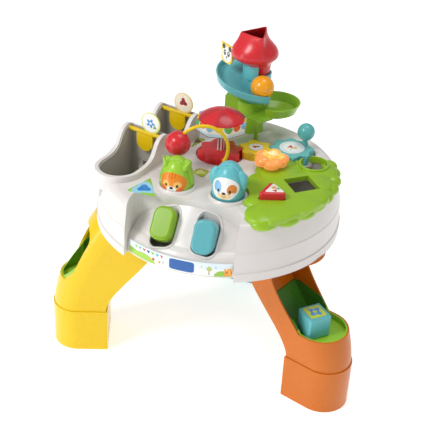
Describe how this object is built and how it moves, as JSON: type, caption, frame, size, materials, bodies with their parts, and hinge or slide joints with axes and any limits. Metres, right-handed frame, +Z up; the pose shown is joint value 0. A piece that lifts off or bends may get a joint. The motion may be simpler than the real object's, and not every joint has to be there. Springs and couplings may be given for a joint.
{
  "type": "musical activity table",
  "caption": "Baby activity table on three curved legs, with meshed gears, pop-up heads worked by levers, swing gates, a spiral ball tower, a bead arch and a shape sorter.",
  "frame": {"origin": "middle of the footprint on the floor, under the bounding box's centre", "axes": "+Z up, -Y towards the front with the two levers, +X towards the shape sorter"},
  "size_m": [0.5808, 0.5128, 0.585],
  "materials": {
    "shell": "gloss",
    "grey_liner": "satin",
    "cover_white": "satin",
    "label_print": "gloss",
    "orange_plastic": "gloss",
    "yellow_plastic": "gloss",
    "blue_plastic": "gloss",
    "green_plastic": "gloss",
    "cup_green": "gloss",
    "lime_plastic": "gloss",
    "teal_plastic": "gloss",
    "red_plastic": "gloss",
    "white_print": "gloss",
    "cat_face": "gloss",
    "dog_face": "gloss",
    "flower_orange": "gloss",
    "ball_orange": "gloss",
    "steel": "satin",
    "cell_metal": "satin",
    "board_green": "satin",
    "speaker_black": "matte"
  },
  "bodies": {
    "table": {"table_top": "shell", "front_console": "shell", "front_label": "label_print", "bottom_cover": "cover_white", "cover_screws": "steel", "battery_door": "cover_white", "battery_box": "cover_white", "batteries": "cell_metal", "circuit_board": "board_green", "speaker": "speaker_black", "orange_leg": "orange_plastic", "orange_foot": "orange_plastic", "yellow_leg": "yellow_plastic", "yellow_foot": "yellow_plastic", "blue_leg": "blue_plastic", "blue_foot": "blue_plastic", "orange_chute_cup": "cup_green", "yellow_chute_cup": "cup_green", "gear_axles": "steel", "bead_arch": "yellow_plastic", "sorter_cover": "lime_plastic", "sorter_bin": "grey_liner", "flower_lamp": "board_green", "slide_liner_1": "grey_liner", "slide_liner_2": "grey_liner", "slide_floor": "grey_liner", "tower_column": "green_plastic", "lower_track": "lime_plastic", "upper_track": "blue_plastic", "funnel_roof": "red_plastic"},
    "green_lever": {"green_lever": "lime_plastic"},
    "blue_lever": {"blue_lever": "blue_plastic"},
    "cat": {"cat_head": "cat_face", "cat_hood": "green_plastic"},
    "dog": {"dog_head": "dog_face", "dog_hood": "blue_plastic"},
    "carousel": {"red_gear": "red_plastic", "carousel_post": "white_print", "carousel_band": "white_print", "carousel_roof": "red_plastic"},
    "yellow_gear": {"yellow_gear": "yellow_plastic", "yellow_gear_disc": "white_print"},
    "teal_gear": {"teal_gear": "teal_plastic", "teal_gear_disc": "white_print", "crank_knob": "teal_plastic"},
    "bead": {"red_bead": "red_plastic"},
    "flower": {"flower_button": "flower_orange"},
    "gate_1": {"swing_gate_1": "yellow_plastic", "gate_disc_1": "white_print"},
    "gate_2": {"swing_gate_2": "yellow_plastic", "gate_disc_2": "white_print"},
    "sign": {"tower_sign": "white_print"},
    "ball": {"ball": "ball_orange"},
    "cube": {"cube_block": "blue_plastic"},
    "triangle": {"triangle_block": "red_plastic"},
    "switch": {"power_switch": "red_plastic"}
  },
  "joints": [
    {"name": "green_lever_hinge", "type": "hinge", "parent": "table", "child": "green_lever", "pos_m": [-0.042, -0.1956, 0.338], "axis": [1, 0, 0], "range_deg": [0, 15]},
    {"name": "cat_slide", "type": "slide", "parent": "table", "child": "cat", "axis": [0, 0, 1], "range_m": [0, 0.00981]},
    {"name": "blue_lever_hinge", "type": "hinge", "parent": "table", "child": "blue_lever", "pos_m": [0.031, -0.1956, 0.338], "axis": [1, 0, 0], "range_deg": [-15, 0]},
    {"name": "dog_slide", "type": "slide", "parent": "table", "child": "dog", "axis": [0, 0, 1], "range_m": [-0.00981, 0]},
    {"name": "carousel_spin", "type": "hinge", "parent": "table", "child": "carousel", "pos_m": [-0.014, -0.0116, 0.3953], "axis": [0, 0, 1], "continuous": true},
    {"name": "yellow_gear_spin", "type": "hinge", "parent": "table", "child": "yellow_gear", "pos_m": [0.0441, 0.01929, 0.3953], "axis": [0, 0, 1], "continuous": true},
    {"name": "teal_gear_spin", "type": "hinge", "parent": "table", "child": "teal_gear", "pos_m": [0.10511, 0.04394, 0.3953], "axis": [0, 0, 1], "continuous": true},
    {"name": "bead_travel", "type": "hinge", "parent": "table", "child": "bead", "pos_m": [-0.022, -0.0896, 0.431], "axis": [-0.3746, 0.9272, 0], "range_deg": [0, 152]},
    {"name": "flower_press", "type": "slide", "parent": "table", "child": "flower", "axis": [0, 0, 1], "range_m": [-0.004, 0], "stiffness_N_per_m": 300, "springref_m": 0.002},
    {"name": "gate_1_swing", "type": "hinge", "parent": "table", "child": "gate_1", "pos_m": [-0.13792, -0.06598, 0.4288], "axis": [0.9724, -0.2334, 0], "range_deg": [-45, 0]},
    {"name": "gate_2_swing", "type": "hinge", "parent": "table", "child": "gate_2", "pos_m": [-0.11364, 0.03515, 0.4288], "axis": [0.9724, -0.2334, 0], "range_deg": [-45, 0]},
    {"name": "sign_swing", "type": "hinge", "parent": "table", "child": "sign", "pos_m": [-0.045, 0.1034, 0.5465], "axis": [0.7771, -0.6293, 0], "range_deg": [-50, 0]},
    {"name": "ball_lift_off", "type": "slide", "parent": "table", "child": "ball", "axis": [0.2729, -0.419, 0.866], "range_m": [0, 0.02]},
    {"name": "cube_lift_out", "type": "slide", "parent": "table", "child": "cube", "axis": [0.6645, -0.2418, 0.7071], "range_m": [0, 0.1]},
    {"name": "triangle_lift_out", "type": "slide", "parent": "table", "child": "triangle", "axis": [0, 0, 1], "range_m": [0, 0.04]},
    {"name": "switch_slide", "type": "slide", "parent": "table", "child": "switch", "axis": [1, 0, 0], "range_m": [-0.003, 0.003]}
  ],
  "couplings": [
    {"joint": "cat_slide", "follows": "green_lever_hinge", "m_per_rad": 0.037433},
    {"joint": "dog_slide", "follows": "blue_lever_hinge", "m_per_rad": 0.037433},
    {"joint": "yellow_gear_spin", "follows": "carousel_spin", "ratio": -1.3333},
    {"joint": "teal_gear_spin", "follows": "carousel_spin", "ratio": 1}
  ]
}
